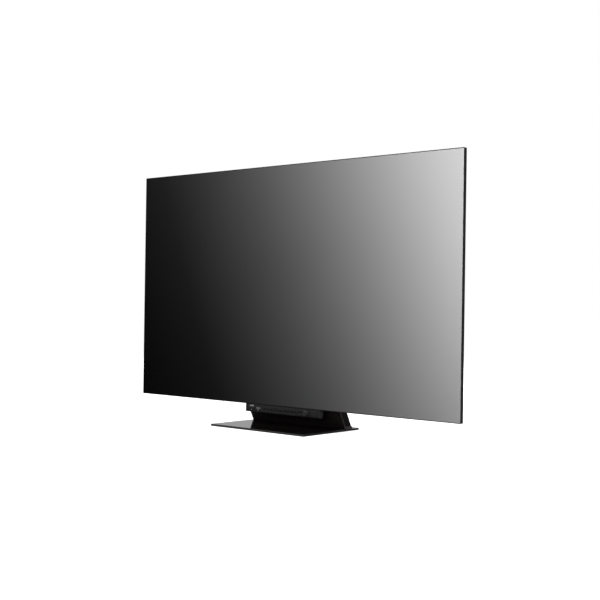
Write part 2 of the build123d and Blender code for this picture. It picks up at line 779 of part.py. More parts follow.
with BuildPart() as control_board:
    slab(board_front, board_thickness, 0, body_middle, 2 * (body_half - strip_wall) - 1,
         body_room - 0.3)
    slab(board_front + board_thickness, 4.0, -30, body_middle, 30, 8)
    slab(board_front + board_thickness, 1.2, 40, body_middle, 9, 9)
save(control_board, "control_board")

tact_places = [(x, button_z) for x in function_button_xs]
tact_places += [(x, round_button_z) for x, radius in round_buttons.values()]
with BuildPart() as tact_switches:
    for x, z in tact_places:
        slab(tact_front + tact_plunger_length, board_front - tact_front - tact_plunger_length, x, z,
             tact_size, tact_size)
        rod(tact_front, tact_plunger_length, x, z, tact_plunger_radius)
save(tact_switches, "tact_switches")

cap_front = strip_front - 1.2
stem_start = flange_depth + flange_thickness
for number, x in enumerate(function_button_xs, start=1):
    with BuildPart() as function_button:
        with BuildSketch(upright(cap_front, x, button_z)):
            RectangleRounded(button_width, button_height, 0.8)
        extrude(amount=-(flange_depth - cap_front))
        fillet(function_button.faces().sort_by(Axis.Y)[0].edges(), 0.35)
        slab(flange_depth, flange_thickness, x, button_z, button_width + 3, button_height + 3)
        rod(stem_start, stem_end - stem_start, x, button_z, stem_radius)
    save(function_button, f"function_button_{number}")

for name, (x, radius) in round_buttons.items():
    with BuildPart() as round_button:
        rod(cap_front, flange_depth - cap_front, x, round_button_z, radius)
        fillet(round_button.faces().sort_by(Axis.Y)[0].edges(), 0.4)
        rod(flange_depth, flange_thickness, x, round_button_z, radius + 1.0)
        rod(stem_start, stem_end - stem_start, x, round_button_z, stem_radius)
    save(round_button, name)

encoder_front = 6.0
encoder_size = 12.0
cavity_radius = 5.2
plunger_flange_radius = 4.8
plunger_flange_thickness = 1.0
cavity_front = 7.2
cavity_back = 11.5
bush_front = 0.0
with BuildPart() as encoder_body:
    slab(encoder_front, board_front - encoder_front, knob_x, knob_z, encoder_size,
         encoder_size)
    rod(bush_front, encoder_front - bush_front, knob_x, knob_z, bush_radius)
    rod(bush_front, cavity_front - bush_front, knob_x, knob_z, plunger_radius + running_gap, Mode.SUBTRACT)
    rod(cavity_front, cavity_back - cavity_front, knob_x, knob_z, cavity_radius, Mode.SUBTRACT)
save(encoder_body, "encoder_body")

plunger_front = -2.0
plunger_flange = cavity_front + button_gap
plunger_back = plunger_flange + plunger_flange_thickness
with BuildPart() as encoder_plunger:
    rod(plunger_front, plunger_flange - plunger_front, knob_x, knob_z, plunger_radius)
    rod(plunger_flange, plunger_flange_thickness, knob_x, knob_z, plunger_flange_radius)
    rod(plunger_front, plunger_back - plunger_front, knob_x, knob_z, shaft_radius + running_gap,
        Mode.SUBTRACT)
save(encoder_plunger, "encoder_plunger")

shaft_start = knob_front + 2.0
collar_front = plunger_back + button_gap
collar_radius = 3.2
with BuildPart() as knob_shaft:
    rod(shaft_start, collar_front + 1.2 - shaft_start, knob_x, knob_z, shaft_radius)
    rod(collar_front, 0.8, knob_x, knob_z, collar_radius)
save(knob_shaft, "knob_shaft")

knob_edge_radius = 0.9
ridge_radius = 0.35
ridge_start = knob_front + 1.5
recess_radius = 5.6
recess_depth = 3.0
with BuildPart() as knob:
    rod(knob_front, knob_back - knob_front, knob_x, knob_z, knob_radius)
    fillet(knob.faces().sort_by(Axis.Y)[0].edges(), knob_edge_radius)
    with BuildSketch(upright(ridge_start, knob_x, knob_z)):
        with PolarLocations(knob_radius, knob_ridges):
            Circle(ridge_radius)
    extrude(amount=-(knob_back - knob_front), mode=Mode.SUBTRACT)
    rod(knob_back - recess_depth, recess_depth, knob_x, knob_z, recess_radius, Mode.SUBTRACT)
    rod(shaft_start, knob_back - shaft_start, knob_x, knob_z, shaft_radius, Mode.SUBTRACT)
save(knob, "knob")

with BuildPart() as indicator_window:
    slab(strip_front - 0.3, strip_wall + 0.3, input_x, label_z, label_width - 0.2, label_height - 0.2)
    fillet(indicator_window.faces().sort_by(Axis.Y)[0].edges(), 0.25)
save(indicator_window, "indicator_window")

with BuildPart() as badge_plate:
    slab(strip_front - 0.6, 0.6, power_x, badge_z, 16, 5)
    fillet(badge_plate.edges().filter_by(Axis.Y), 0.6)
    chamfer(badge_plate.faces().sort_by(Axis.Y)[0].edges(), 0.15)
save(badge_plate, "badge_plate")

window_gap = 0.2
with BuildPart() as sensor_window:
    with BuildSketch(upright(strip_front - 1.0, window_x, strip_middle)):
        RectangleRounded(window_width, window_height, 2.5)
    extrude(amount=-1.0)
    fillet(sensor_window.faces().sort_by(Axis.Y)[0].edges(), 0.6)
    slab(strip_front, strip_wall, window_x, strip_middle, window_width - window_step - 2 * window_gap,
         window_height - window_step - 2 * window_gap)
save(sensor_window, "sensor_window")
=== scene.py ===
"""The looks of a flat panel display with a control strip, on a leaning neck and a plate base."""

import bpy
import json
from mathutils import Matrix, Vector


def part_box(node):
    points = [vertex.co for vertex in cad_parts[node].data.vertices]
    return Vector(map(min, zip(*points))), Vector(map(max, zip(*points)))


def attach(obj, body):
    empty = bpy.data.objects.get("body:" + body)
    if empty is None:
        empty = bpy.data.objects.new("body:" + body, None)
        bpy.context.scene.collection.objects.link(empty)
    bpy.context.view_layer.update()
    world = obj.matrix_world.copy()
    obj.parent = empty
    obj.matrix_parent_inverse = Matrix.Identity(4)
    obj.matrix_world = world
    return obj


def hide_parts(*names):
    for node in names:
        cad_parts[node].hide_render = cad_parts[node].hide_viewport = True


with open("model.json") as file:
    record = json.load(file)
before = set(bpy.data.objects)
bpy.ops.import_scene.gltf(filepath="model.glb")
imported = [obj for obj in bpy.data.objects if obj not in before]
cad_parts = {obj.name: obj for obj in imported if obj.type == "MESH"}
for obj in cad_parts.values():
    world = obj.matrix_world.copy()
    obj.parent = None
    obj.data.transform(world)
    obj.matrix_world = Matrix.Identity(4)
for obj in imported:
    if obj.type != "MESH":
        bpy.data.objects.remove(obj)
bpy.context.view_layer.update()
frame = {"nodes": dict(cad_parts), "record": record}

import bmesh
import bpy
import json
from math import cos, pi, radians, sin
from mathutils import Matrix, Vector

MM = 0.001
ROOT = "monitor"


# ---- Places, all worked out from the frame ----

screen_low, screen_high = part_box("screen_glass")
fascia_low, fascia_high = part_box("strip_fascia")
plates_low, plates_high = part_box("connector_plates")
screen_centre = (screen_low + screen_high) / 2
bay_floor = plates_high.y
bay_z = (plates_low.z + plates_high.z) / 2
back_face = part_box("rear_housing")[1].y
base_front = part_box("base_plate")[0].y


def middle(node):
    """The middle of a CAD node's box."""
    low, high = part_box(node)
    return (low + high) / 2


# ---- Materials ----

# Grain and cloud sizes for the noise, in features per metre
PLASTIC_GRAIN = 1400.0
PLASTIC_MOTTLE = 220.0
PLASTIC_CLOUDS = 35.0
PAINT_GRAIN = 2200.0
PAINT_MOTTLE = 900.0
PAINT_CLOUDS = 12.0
FINE_GRAIN = 2600.0
PRINT_GRAIN = 3000.0
WINDOW_GRAIN = 1800.0
METAL_MARKS = 900.0
GLOSS_MOTTLE = 60.0
GLOSS_CLOUDS = 25.0
GLOSS_WAVES = 18.0
SCREEN_CLOUDS = 3.0
BOARD_TRACKS = 1500.0

# Bump heights, in metres
VERY_SHALLOW = 0.00001
SHALLOW = 0.00002


def plain_material(name, colour, roughness, metallic=0.0, specular=0.5, coat=0.0, coat_roughness=0.08):
    """A material on one Principled shader, with its even values on the shader's own sockets."""
    material = bpy.data.materials.new(name)
    material.use_nodes = True
    shader = material.node_tree.nodes["Principled BSDF"]
    shader.inputs["Base Color"].default_value = (*colour, 1.0)
    shader.inputs["Roughness"].default_value = roughness
    shader.inputs["Metallic"].default_value = metallic
    shader.inputs["Specular IOR Level"].default_value = specular
    shader.inputs["Coat Weight"].default_value = coat
    shader.inputs["Coat Roughness"].default_value = coat_roughness
    return material


def noise(material, scale, detail=3.0, stretch=(1.0, 1.0, 1.0)):
    """A noise texture in the object's own metres. scale is in features per metre."""
    tree = material.node_tree
    place = tree.nodes.new("ShaderNodeTexCoord")
    mapping = tree.nodes.new("ShaderNodeMapping")
    mapping.inputs["Scale"].default_value = stretch
    texture = tree.nodes.new("ShaderNodeTexNoise")
    texture.inputs["Scale"].default_value = scale
    texture.inputs["Detail"].default_value = detail
    tree.links.new(place.outputs["Object"], mapping.inputs["Vector"])
    tree.links.new(mapping.outputs["Vector"], texture.inputs["Vector"])
    return texture


def shade(colour, factor):
    """A colour made darker or lighter."""
    return tuple(min(1.0, c * factor) for c in colour)


def vary_roughness(material, texture, low, high):
    """Lets a noise texture carry the roughness between two values."""
    tree = material.node_tree
    spread = tree.nodes.new("ShaderNodeMapRange")
    spread.inputs["From Min"].default_value = 0.3
    spread.inputs["From Max"].default_value = 0.7
    spread.inputs["To Min"].default_value = low
    spread.inputs["To Max"].default_value = high
    tree.links.new(texture.outputs["Fac"], spread.inputs["Value"])
    tree.links.new(spread.outputs["Result"], tree.nodes["Principled BSDF"].inputs["Roughness"])


def vary_colour(material, texture, first, second, low=0.35, high=0.65):
    """Lets a noise texture mix two colours."""
    tree = material.node_tree
    ramp = tree.nodes.new("ShaderNodeValToRGB")
    ramp.color_ramp.elements[0].position = low
    ramp.color_ramp.elements[0].color = (*first, 1.0)
    ramp.color_ramp.elements[1].position = high
    ramp.color_ramp.elements[1].color = (*second, 1.0)
    tree.links.new(texture.outputs["Fac"], ramp.inputs["Fac"])
    tree.links.new(ramp.outputs["Color"], tree.nodes["Principled BSDF"].inputs["Base Color"])


def add_bump(material, texture, strength, distance):
    """Lets a noise texture raise the surface, by distance in metres."""
    tree = material.node_tree
    bump = tree.nodes.new("ShaderNodeBump")
    bump.inputs["Strength"].default_value = strength
    bump.inputs["Distance"].default_value = distance
    tree.links.new(texture.outputs["Fac"], bump.inputs["Height"])
    tree.links.new(bump.outputs["Normal"], tree.nodes["Principled BSDF"].inputs["Normal"])


def moulded(name, colour, roughness=0.5, grain=PLASTIC_GRAIN, depth=0.00004, specular=0.5):
    """Moulded plastic: a fine grain, and a faint cloudiness in its gloss and colour."""
    material = plain_material(name, colour, roughness, specular=specular)
    vary_roughness(material, noise(material, PLASTIC_CLOUDS), roughness - 0.05, roughness + 0.05)
    vary_colour(material, noise(material, PLASTIC_MOTTLE), shade(colour, 0.88), shade(colour, 1.18))
    add_bump(material, noise(material, grain, 2.0), 0.5, depth)
    return material


def painted(name, colour, roughness, grain=PAINT_GRAIN, depth=0.00008, specular=0.5):
    """Textured paint: an orange-peel bump over metal."""
    material = plain_material(name, colour, roughness, specular=specular)
    vary_roughness(material, noise(material, PAINT_CLOUDS), roughness - 0.04, roughness + 0.06)
    vary_colour(material, noise(material, PAINT_MOTTLE), shade(colour, 0.92), shade(colour, 1.1))
    add_bump(material, noise(material, grain, 2.0), 0.7, depth)
    return material


def bare_metal(name, colour, roughness):
    """Bare or plated metal, with fine marks."""
    material = plain_material(name, colour, roughness, metallic=1.0)
    marks = noise(material, METAL_MARKS, 4.0)
    vary_roughness(material, marks, roughness - 0.03, roughness + 0.06)
    vary_colour(material, marks, shade(colour, 0.9), colour)
    add_bump(material, marks, 0.25, SHALLOW)
    return material


# An even faint glow painted on the screen, standing in for light scattered by its coat.
SCREEN_PAINTED_GLOW = 0.0007
SCREEN_ROUGHNESS = 0.631


def screen_coat():
    """The screen's satin anti-glare coat over near-black glass, with a faint even painted glow."""
    material = plain_material("screen_coat", (0.0008, 0.0008, 0.0009), SCREEN_ROUGHNESS)
    clouds = noise(material, SCREEN_CLOUDS, 1.0)
    vary_roughness(material, clouds, SCREEN_ROUGHNESS - 0.009, SCREEN_ROUGHNESS + 0.009)
    shader = material.node_tree.nodes["Principled BSDF"]
    shader.inputs["Emission Color"].default_value = (1.0, 1.0, 1.0, 1.0)
    shader.inputs["Emission Strength"].default_value = SCREEN_PAINTED_GLOW
    return material


def gloss_paint(name, colour, roughness, coat):
    """Gloss paint under a clear coat of the given weight, with a very slight waviness."""
    material = plain_material(name, colour, roughness, coat=coat, coat_roughness=0.03)
    vary_colour(material, noise(material, GLOSS_MOTTLE), shade(colour, 0.85), shade(colour, 1.2))
    vary_roughness(material, noise(material, GLOSS_CLOUDS), roughness - 0.02, roughness + 0.03)
    add_bump(material, noise(material, GLOSS_WAVES, 1.0), 0.06, 0.0002)
    return material


def circuit_board():
    """Green solder mask over fine tracks, drawn out along Z."""
    material = plain_material("circuit_board", (0.01, 0.07, 0.03), 0.35)
    tracks = noise(material, BOARD_TRACKS, 1.0, (1.0, 1.0, 0.1))
    vary_colour(material, tracks, (0.008, 0.055, 0.025), (0.013, 0.078, 0.034), 0.46, 0.54)
    add_bump(material, tracks, 0.2, SHALLOW)
    return material


materials = {
    "screen": screen_coat(),
    "panel_frame": painted("anodised_black", (0.010, 0.0095, 0.0095), 0.55, FINE_GRAIN, VERY_SHALLOW,
                           specular=0.2),
    "black_plastic": moulded("black_plastic", (0.0065, 0.0063, 0.0065), 0.5),
    "strip_grey": moulded("strip_grey", (0.022, 0.021, 0.022), 0.45),
    "button_black": moulded("button_black", (0.005, 0.005, 0.0052), 0.38, FINE_GRAIN, SHALLOW),
    "knob": painted("knob_metal", (0.03, 0.03, 0.031), 0.5, FINE_GRAIN, SHALLOW),
    "optical_film": moulded("optical_film", (0.8, 0.81, 0.81), 0.6),
    "light_guide": moulded("light_guide", (0.72, 0.78, 0.78), 0.15),
    "circuit_board": circuit_board(),
    "electronic_parts": moulded("electronic_parts", (0.03, 0.03, 0.031), 0.5),
    "back_metal": painted("back_paint", (0.0105, 0.0105, 0.011), 0.62, specular=0.2),
    "bare_aluminium": bare_metal("mill_aluminium", (0.72, 0.72, 0.73), 0.35),
    "bright_steel": bare_metal("plated_steel", (0.55, 0.55, 0.56), 0.28),
    "connector_plate": painted("connector_plate", (0.028, 0.028, 0.03), 0.4, FINE_GRAIN, 0.00004),
    "base_gloss": gloss_paint("base_gloss", (0.0045, 0.0040, 0.0036), 0.07, 0.0),
    "neck_metal": gloss_paint("neck_metal", (0.0085, 0.0062, 0.0066), 0.3, 0.3),
    "steel_ribs": painted("steel_ribs", (0.03, 0.03, 0.03), 0.5),
    "rubber_pad": moulded("rubber_pad", (0.012, 0.012, 0.012), 0.8),
    "pale_window": moulded("pale_window", (0.2, 0.2, 0.19), 0.4, WINDOW_GRAIN, SHALLOW),
    "sensor_window": moulded("sensor_window", (0.027, 0.026, 0.026), 0.25, FINE_GRAIN, VERY_SHALLOW),
    "encoder_plastic": moulded("encoder_plastic", (0.45, 0.45, 0.42), 0.45),
}
print_grey = moulded("print_grey", (0.13, 0.13, 0.125), 0.55, PRINT_GRAIN, VERY_SHALLOW)
print_white = moulded("print_white", (0.42, 0.42, 0.4), 0.55, PRINT_GRAIN, VERY_SHALLOW)
# Painted shade: black lines on the screen's top and bottom edges only, partly the screen's own black edge.
border_black_and_painted_shade = moulded("border_black_and_painted_shade", (0.0015, 0.0015, 0.0016), 0.6, FINE_GRAIN, VERY_SHALLOW,
                       specular=0.2)
contact_gold = bare_metal("contact_gold", (0.82, 0.6, 0.22), 0.25)
insulator_white = moulded("insulator_white", (0.75, 0.74, 0.7), 0.45)
# Dark plastic for the fan guards and the network socket's walls; on the screw heads it is painted shade for
# the recessed crosses.
vent_dark_and_recess_shade = moulded("vent_dark_and_recess_shade", (0.004, 0.004, 0.004), 0.7)
cover_matte = moulded("cover_matte", (0.006, 0.0048, 0.005), 0.75, specular=0.1)
black_screw = bare_metal("black_screw", (0.16, 0.16, 0.165), 0.32)

for entry in frame["record"]["subparts"]:
    node = frame["nodes"][entry["node"]]
    node.data.materials.clear()
    node.data.materials.append(materials[entry["material_slot"]])
frame["nodes"]["neck_cover"].data.materials[0] = cover_matte


# ---- Mesh helpers ----


def new_piece(name, build, material, body=ROOT, smooth=False, bevel=0.0):
    """Makes a piece from a function that fills a bmesh, and lets it ride on a CAD body."""
    mesh = bpy.data.meshes.new(name)
    form = bmesh.new()
    build(form)
    bmesh.ops.recalc_face_normals(form, faces=form.faces)
    form.to_mesh(mesh)
    form.free()
    for one in material if isinstance(material, (list, tuple)) else [material]:
        mesh.materials.append(one)
    piece = bpy.data.objects.new(name, mesh)
    bpy.context.scene.collection.objects.link(piece)
    if smooth:
        mesh.shade_smooth()
    if bevel:
        rounding = piece.modifiers.new("rounding", "BEVEL")
        rounding.width = bevel
        rounding.segments = 2
        rounding.limit_method = "ANGLE"
        rounding.harden_normals = False
    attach(piece, body)
    return piece


def add_block(form, low, high, material_index=0):
    """Adds a closed box to a bmesh."""
    xs, ys, zs = zip(low, high)
    corners = [Vector((x, y, z)) for x in xs for y in ys for z in zs]
    points = [form.verts.new(corner) for corner in corners]
    for side in ((0, 1, 3, 2), (4, 6, 7, 5), (0, 4, 5, 1), (2, 3, 7, 6), (0, 2, 6, 4), (1, 5, 7, 3)):
        face = form.faces.new([points[i] for i in side])
        face.material_index = material_index


def add_turned(form, centre, profile, segments=32, material_index=0):
    """Adds a solid turned about a line along +Y; profile is (radius, y) pairs from axis to axis."""
    rings = []
    for radius, along in profile:
        if radius == 0:
            rings.append([form.verts.new(centre + Vector((0, along, 0)))])
            continue
        ring = []
        for i in range(segments):
            turn = 2 * pi * i / segments
            ring.append(form.verts.new(centre + Vector((radius * cos(turn), along, radius * sin(turn)))))
        rings.append(ring)
    for first, second in zip(rings, rings[1:]):
        for i in range(segments):
            j = (i + 1) % segments
            corners = [first[i % len(first)], first[j % len(first)],
                       second[j % len(second)], second[i % len(second)]]
            face = form.faces.new(list(dict.fromkeys(corners)))
            face.material_index = material_index


def add_ring(form, centre, profile, segments=32, material_index=0):
    """Adds a ring about a line along +Y; profile is a closed loop of (radius, y) pairs."""
    rings = []
    for radius, along in profile:
        turns = [2 * pi * i / segments for i in range(segments)]
        places = [Vector((radius * cos(turn), along, radius * sin(turn))) for turn in turns]
        rings.append([form.verts.new(centre + place) for place in places])
    for first, second in zip(rings, rings[1:] + rings[:1]):
        for i in range(segments):
            j = (i + 1) % segments
            form.faces.new([first[i], first[j], second[j], second[i]]).material_index = material_index


def add_sleeve(form, low, high, wall, material_index=0):
    """Adds a thin rectangular tube along +Y, its outside between two corners."""
    add_block(form, low, (high[0], high[1], low[2] + wall), material_index)
    add_block(form, (low[0], low[1], high[2] - wall), high, material_index)
    bottom, top = low[2] + wall, high[2] - wall
    add_block(form, (low[0], low[1], bottom), (low[0] + wall, high[1], top), material_index)
    add_block(form, (high[0] - wall, low[1], bottom), (high[0], high[1], top), material_index)


def add_rounded_plate(form, centre, width, height, depth, corner, material_index=0, steps=5):
    """Adds an upright plate with round corners, its front at centre.y, depth thick towards +Y."""
    outline = []
    for sx, sz, start in ((1, 1, 0), (-1, 1, 1), (-1, -1, 2), (1, -1, 3)):
        for step in range(steps + 1):
            turn = (start + step / steps) * pi / 2
            outline.append((centre.x + sx * (width / 2 - corner) + corner * cos(turn),
                            centre.z + sz * (height / 2 - corner) + corner * sin(turn)))
    front = [form.verts.new((x, centre.y, z)) for x, z in outline]
    back = [form.verts.new((x, centre.y + depth, z)) for x, z in outline]
    sides = [[front[i], front[i - 1], back[i - 1], back[i]] for i in range(len(front))]
    for corners in [front, back, *sides]:
        form.faces.new(corners).material_index = material_index


# ---- Screen ----

BORDER = 0.4 * MM
BORDER_THICK = 0.12 * MM


def build_border_and_shade_lines(form):
    """Thin black lines above and below the picture area, none at the sides: painted shade for the dark top
    and bottom edges, partly the screen's own black edge.
    """
    low, high = screen_low, screen_high
    front, back = low.y - BORDER_THICK, low.y
    add_block(form, (low.x, front, low.z), (high.x, back, low.z + BORDER))
    add_block(form, (low.x, front, high.z - BORDER), (high.x, back, high.z))


new_piece("screen_border_and_shade", build_border_and_shade_lines, border_black_and_painted_shade)

# ---- Control strip ----

PRINT = 0.05 * MM
MARK_WIDTH = 4.2 * MM
MARK_HEIGHT = 1.3 * MM
MARK_DROP = 4.3 * MM
MARK_CORNER = 0.4 * MM
LAMP_RADIUS = 1.3 * MM
INDEX_RADIUS = 0.7 * MM
INDEX_FROM_CENTRE = 5.6 * MM
DISC_SIDES = 20


def build_strip_marks(form):
    """A plain printed dash under each function button."""
    face = fascia_low.y - PRINT
    for number in range(1, 9):
        place = middle(f"function_button_{number}")
        spot = Vector((place.x, face, place.z - MARK_DROP))
        add_rounded_plate(form, spot, MARK_WIDTH, MARK_HEIGHT, PRINT, MARK_CORNER)


new_piece("strip_marks", build_strip_marks, print_grey)


def add_disc(form, spot, radius):
    """Adds a thin printed disc that faces the front."""
    add_turned(form, spot, [(0, 0), (radius, 0), (radius, 2 * PRINT), (0, 2 * PRINT)], DISC_SIDES)


def add_lamp(node):
    """A pale lamp in the middle of a round button, which it rides on."""
    spot = Vector((middle(node).x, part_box(node)[0].y - PRINT, middle(node).z))

    def build_lamp(form):
        add_disc(form, spot, LAMP_RADIUS)

    new_piece(f"{node}_lamp", build_lamp, print_white, body=node)


add_lamp("power_button")
add_lamp("input_button")

knob_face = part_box("knob")[0].y
knob_centre = middle("knob")


def build_knob_index(form):
    """A pale index dot near the rim of the knob's face."""
    spot = Vector((knob_centre.x, knob_face - PRINT, knob_centre.z + INDEX_FROM_CENTRE))
    add_disc(form, spot, INDEX_RADIUS)


new_piece("knob_index", build_knob_index, print_white, body="knob")

# ---- Rear ----

SCREW_HEAD = 2.0 * MM
SCREW_RADIUS = 3.6 * MM
SCREW_SINK = 1.0 * MM
SCREW_SIDES = 28
CROSS_LONG = 2.3 * MM
CROSS_SHORT = 0.45 * MM
CROSS_THICK = 0.02 * MM
SAME_POINT = 0.01 * MM
screw_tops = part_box("housing_screws")[1].y


def add_pan_head(form, centre):
    """Adds a screw's pan head on a short shank, its top towards +Y."""
    radius, height = SCREW_RADIUS, SCREW_HEAD
    shank = radius * 0.5
    profile = [(0, -SCREW_SINK), (shank, -SCREW_SINK), (shank, 0), (radius, 0), (radius, height * 0.45),
               (radius * 0.86, height * 0.8), (radius * 0.6, height), (0, height)]
    add_turned(form, centre, profile, SCREW_SIDES)


def screw_places():
    """The middle of each housing screw's head, from the loose islands of the CAD node."""
    node = frame["nodes"]["housing_screws"]
    form = bmesh.new()
    form.from_mesh(node.data)
    bmesh.ops.remove_doubles(form, verts=form.verts, dist=SAME_POINT)
    places = []
    left = set(form.verts)
    while left:
        stack = [left.pop()]
        island = []
        while stack:
            vert = stack.pop()
            island.append(vert.co.copy())
            for edge in vert.link_edges:
                other = edge.other_vert(vert)
                if other in left:
                    left.remove(other)
                    stack.append(other)
        xs = [co.x for co in island]
        zs = [co.z for co in island]
        x = (min(xs) + max(xs)) / 2
        z = (min(zs) + max(zs)) / 2
        places.append(Vector((x, screw_tops - SCREW_HEAD, z)))
    form.free()
    return sorted(places, key=lambda place: (round(place.z, 4), place.x))


def build_housing_screws(form):
    """Pan heads, each with a dark cross on its top: painted shade standing in for the recessed cross."""
    for place in screw_places():
        add_pan_head(form, place)
        top = place.y + SCREW_HEAD
        for dx, dz in ((CROSS_SHORT, CROSS_LONG), (CROSS_LONG, CROSS_SHORT)):
            add_block(form, (place.x - dx, top, place.z - dz),
                      (place.x + dx, top + CROSS_THICK, place.z + dz), 1)


screws = new_piece("housing_screw_heads", build_housing_screws, [black_screw, vent_dark_and_recess_shade])
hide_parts("housing_screws")


# Coaxial sockets: a pale insulator round each inner contact, and a gilt sleeve on its pin
BNC_COUNT = 6
BNC_NUT_RADIUS = 8.0 * MM
BNC_CORE_RADIUS = 1.6 * MM
BNC_CORE = (4.5 * MM, 9.5 * MM)
BNC_PIN_RADIUS = 0.5 * MM
BNC_PIN_END = 11.0 * MM
BNC_CUP_RADIUS = 1.5 * MM
BNC_CUP_RIM = 0.25 * MM
BNC_CUP_TOP = 0.4 * MM
INSULATOR_RADIUS = 2.3 * MM
INSULATOR_STEP = 0.35 * MM
INSULATOR_STEP_START = 1.4 * MM
INSULATOR_STEP_END = 1.1 * MM
INSULATOR_SIDES = 36
CONTACT_SIDES = 24
SKIN = 0.04 * MM
bnc_low, bnc_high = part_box("bnc_connectors")
bnc_pitch = (bnc_high.x - bnc_low.x - 2 * BNC_NUT_RADIUS) / (BNC_COUNT - 1)
bnc_xs = [bnc_low.x + BNC_NUT_RADIUS + i * bnc_pitch for i in range(BNC_COUNT)]
bnc_places = [Vector((x, bay_floor, bay_z)) for x in bnc_xs]


def build_bnc_insulators(form):
    """A stepped tube of pale insulator over each socket's core."""
    start, end = BNC_CORE
    inner, outer = BNC_CORE_RADIUS + SKIN, INSULATOR_RADIUS
    thin = outer - INSULATOR_STEP
    profile = [(inner, start + SKIN), (outer, start + SKIN), (outer, end - INSULATOR_STEP_START),
               (thin, end - INSULATOR_STEP_END), (thin, end), (inner, end)]
    for place in bnc_places:
        add_ring(form, place, profile, INSULATOR_SIDES)


def build_bnc_contacts(form):
    """A gilt cup over each core's end and a sleeve on its pin."""
    end = BNC_CORE[1]
    pin = BNC_PIN_RADIUS + SKIN
    profile = [(0, end + SKIN), (BNC_CUP_RADIUS, end + SKIN), (BNC_CUP_RADIUS, end + BNC_CUP_RIM),
               (pin, end + BNC_CUP_TOP), (pin, BNC_PIN_END), (pin * 0.6, BNC_PIN_END + SKIN),
               (0, BNC_PIN_END + SKIN)]
    for place in bnc_places:
        add_turned(form, place, profile, CONTACT_SIDES)


new_piece("bnc_insulators", build_bnc_insulators, insulator_white)
new_piece("bnc_contacts", build_bnc_contacts, contact_gold)

# Video sockets: a plated liner and a row of contacts under the tongue
HDMI_INSIDE = Vector((14.0, 0, 5.0)) * MM
HDMI_HALF_WIDTH = 7.7 * MM
HDMI_LINER_WALL = 0.2 * MM
HDMI_LINER_BACK = 8.9 * MM
HDMI_LINER_FRONT = 0.48 * MM
HDMI_CONTACTS = 9
HDMI_PITCH = 1.0 * MM
HDMI_CONTACT_HALF = 0.25 * MM
HDMI_CONTACT_BACK = 8.5 * MM
HDMI_CONTACT_FRONT = 1.9 * MM
HDMI_CONTACT_DROP = 0.15 * MM
hdmi_low, hdmi_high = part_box("hdmi_sockets")
hdmi_xs = (hdmi_low.x + HDMI_HALF_WIDTH, hdmi_high.x - HDMI_HALF_WIDTH)


def build_hdmi_liners(form):
    """A thin plated tube inside each socket."""
    half_x, half_z = HDMI_INSIDE.x / 2 - SKIN, HDMI_INSIDE.z / 2 - SKIN
    for x in hdmi_xs:
        add_sleeve(form, (x - half_x, bay_floor - HDMI_LINER_BACK, bay_z - half_z),
                   (x + half_x, bay_floor + HDMI_LINER_FRONT, bay_z + half_z), HDMI_LINER_WALL)


def build_hdmi_contacts(form):
    """A row of gilt strips in each socket."""
    for x in hdmi_xs:
        for i in range(HDMI_CONTACTS):
            place = x + (i - (HDMI_CONTACTS - 1) / 2) * HDMI_PITCH
            low = (place - HDMI_CONTACT_HALF, bay_floor - HDMI_CONTACT_BACK, bay_z - HDMI_CONTACT_DROP)
            high = (place + HDMI_CONTACT_HALF, bay_floor - HDMI_CONTACT_FRONT, bay_z + SKIN)
            add_block(form, low, high)


new_piece("hdmi_liners", build_hdmi_liners, materials["bright_steel"])
new_piece("hdmi_contacts", build_hdmi_contacts, contact_gold)

# Network socket: gilt springs, dark walls and two small lamps
NETWORK_CONTACTS = 8
NETWORK_PITCH = 1.02 * MM
NETWORK_CONTACT_LOW = Vector((-0.22, -11.8, 2.7)) * MM
NETWORK_CONTACT_HIGH = Vector((0.22, -2.9, 3.3)) * MM
NETWORK_LAMP = {"width": 2.6 * MM, "height": 1.4 * MM, "depth": 0.15 * MM, "corner": 0.4 * MM}
NETWORK_LAMP_OUT = 5.2 * MM
NETWORK_LAMP_FRONT = 0.5 * MM
NETWORK_LAMP_UP = 5.6 * MM
NETWORK_CAVITY_LOW = Vector((-5.85, -12.0, -3.2)) * MM
NETWORK_CAVITY_HIGH = Vector((5.85, 0.5, 4.2)) * MM
NETWORK_LINER_SET_BACK = 0.4 * MM
LATCH_HALF = 3.1 * MM
LINER = 0.15 * MM
network_x = middle("network_socket").x


def build_network_contacts(form):
    """A row of gilt springs under the socket's roof."""
    for i in range(NETWORK_CONTACTS):
        x = network_x + (i - (NETWORK_CONTACTS - 1) / 2) * NETWORK_PITCH
        place = Vector((x, bay_floor, bay_z))
        add_block(form, place + NETWORK_CONTACT_LOW, place + NETWORK_CONTACT_HIGH)


def build_network_lamps(form):
    """A small pale lamp on each side above the opening."""
    for side in (-1, 1):
        spot = Vector((network_x + side * NETWORK_LAMP_OUT, bay_floor + NETWORK_LAMP_FRONT,
                       bay_z + NETWORK_LAMP_UP))
        add_rounded_plate(form, spot, **NETWORK_LAMP)


def build_network_liner(form):
    """Dark plastic walls inside the metal shell, open at the front and over the latch's notch."""
    place = Vector((network_x, bay_floor, bay_z))
    low, high = place + NETWORK_CAVITY_LOW, place + NETWORK_CAVITY_HIGH
    front = high.y - NETWORK_LINER_SET_BACK
    half = high.x - place.x
    add_block(form, (low.x + SKIN, low.y + SKIN, low.z + SKIN), (high.x - SKIN, low.y + LINER, high.z - SKIN))
    add_block(form, (low.x + SKIN, low.y + LINER, high.z - LINER), (high.x - SKIN, front, high.z - SKIN))
    for side in (-1, 1):
        wall = sorted((place.x + side * (half - SKIN), place.x + side * (half - LINER)))
        sill = sorted((place.x + side * (half - LINER), place.x + side * LATCH_HALF))
        add_block(form, (wall[0], low.y + LINER, low.z + SKIN), (wall[1], front, high.z - LINER))
        add_block(form, (sill[0], low.y + LINER, low.z + SKIN), (sill[1], front, low.z + LINER))


new_piece("network_liner", build_network_liner, vent_dark_and_recess_shade)
new_piece("network_contacts", build_network_contacts, contact_gold)
new_piece("network_lamps", build_network_lamps, print_white)

